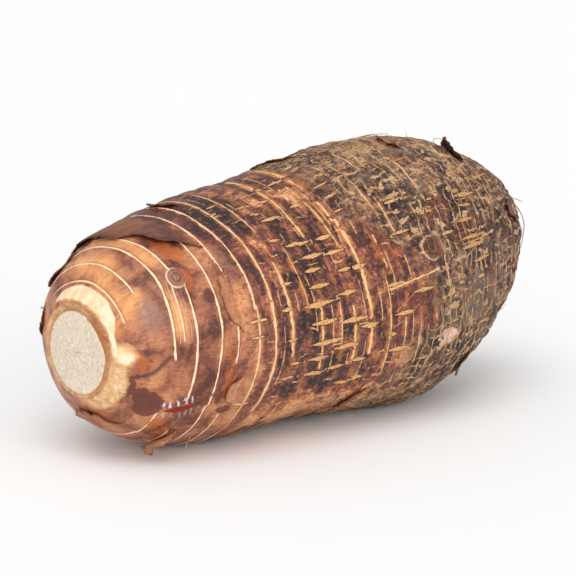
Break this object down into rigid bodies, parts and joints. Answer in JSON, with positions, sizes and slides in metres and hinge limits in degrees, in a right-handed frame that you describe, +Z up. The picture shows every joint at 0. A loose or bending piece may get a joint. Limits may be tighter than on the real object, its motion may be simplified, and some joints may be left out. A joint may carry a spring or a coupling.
{
  "type": "taro root",
  "caption": "Whole taro corm lying on its side: a blunt ovoid root ringed by leaf scars, with small side buds, a flat sliced crown and a slightly flattened belly.",
  "frame": {"origin": "under the middle of the corm's box, on the surface that it lies on", "axes": "+X from the sliced crown to the root end, +Z up"},
  "size_m": [0.23, 0.1118, 0.1101],
  "materials": {
    "corm_skin": "rough brown bark with pale leaf scars and corky cracks, glossier towards the crown",
    "cut_flesh": "matt, dry cut flesh, cream with fine purple-grey flecks",
    "husk": "dry papery leaf-base husk, brown and slightly glossy",
    "root_fibre": "dull dry fibre"
  },
  "bodies": {
    "root": {"taro_corm": "corm_skin"}
  },
  "joints": []
}
